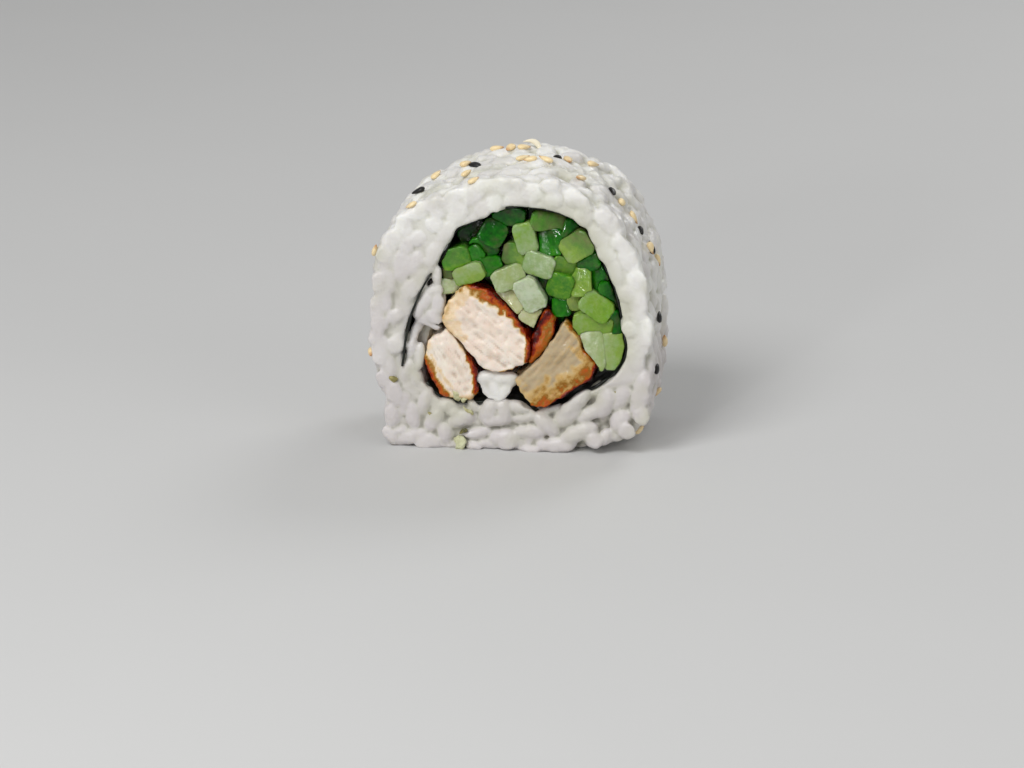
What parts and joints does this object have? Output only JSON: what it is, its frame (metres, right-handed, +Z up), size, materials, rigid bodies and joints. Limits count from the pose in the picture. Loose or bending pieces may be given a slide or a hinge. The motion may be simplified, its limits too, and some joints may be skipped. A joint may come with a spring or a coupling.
{
  "type": "inside-out sushi roll piece",
  "caption": "One upright cut piece of inside-out sushi roll: sesame-sprinkled rice round nori, cucumber sticks and glazed chicken, flat underneath.",
  "frame": {"origin": "middle of the flat underside that the piece stands on, in the middle of its length", "axes": "+X across the cut face to the right, +Y along the roll's own axis away from the pictured cut face, +Z up"},
  "size_m": [0.0476, 0.026, 0.0464],
  "materials": {
    "rice": "cooked sticky rice, translucent white with a wet sheen",
    "nori": "damp roasted seaweed, nearly black, faint gloss",
    "cucumber": "cut cucumber, pale translucent flesh and dark green skin, wet",
    "chicken": "cooked chicken, cream fibrous flesh with a browned glazed edge",
    "glazed_skin": "dark glossy teriyaki glaze over browned skin"
  },
  "bodies": {
    "root": {"rice": "rice", "nori": "nori", "chicken_large": "chicken", "chicken_left": "chicken", "chicken_right": "chicken", "chicken_skin": "glazed_skin", "rice_lump": "rice", "cucumber_01": "cucumber", "cucumber_02": "cucumber", "cucumber_03": "cucumber", "cucumber_04": "cucumber", "cucumber_05": "cucumber", "cucumber_06": "cucumber", "cucumber_07": "cucumber", "cucumber_08": "cucumber", "cucumber_09": "cucumber", "cucumber_10": "cucumber", "cucumber_11": "cucumber", "cucumber_12": "cucumber", "cucumber_13": "cucumber", "cucumber_14": "cucumber", "cucumber_15": "cucumber", "cucumber_16": "cucumber", "cucumber_17": "cucumber", "cucumber_18": "cucumber", "cucumber_19": "cucumber", "cucumber_20": "cucumber", "cucumber_21": "cucumber", "cucumber_22": "cucumber", "cucumber_23": "cucumber", "cucumber_24": "cucumber", "cucumber_25": "cucumber", "cucumber_26": "cucumber", "cucumber_27": "cucumber", "cucumber_28": "cucumber", "cucumber_29": "cucumber", "cucumber_30": "cucumber", "cucumber_31": "cucumber", "cucumber_32": "cucumber", "cucumber_33": "cucumber", "cucumber_34": "cucumber", "cucumber_35": "cucumber", "cucumber_36": "cucumber", "cucumber_37": "cucumber", "cucumber_38": "cucumber", "cucumber_39": "cucumber", "cucumber_40": "cucumber"}
  },
  "joints": []
}
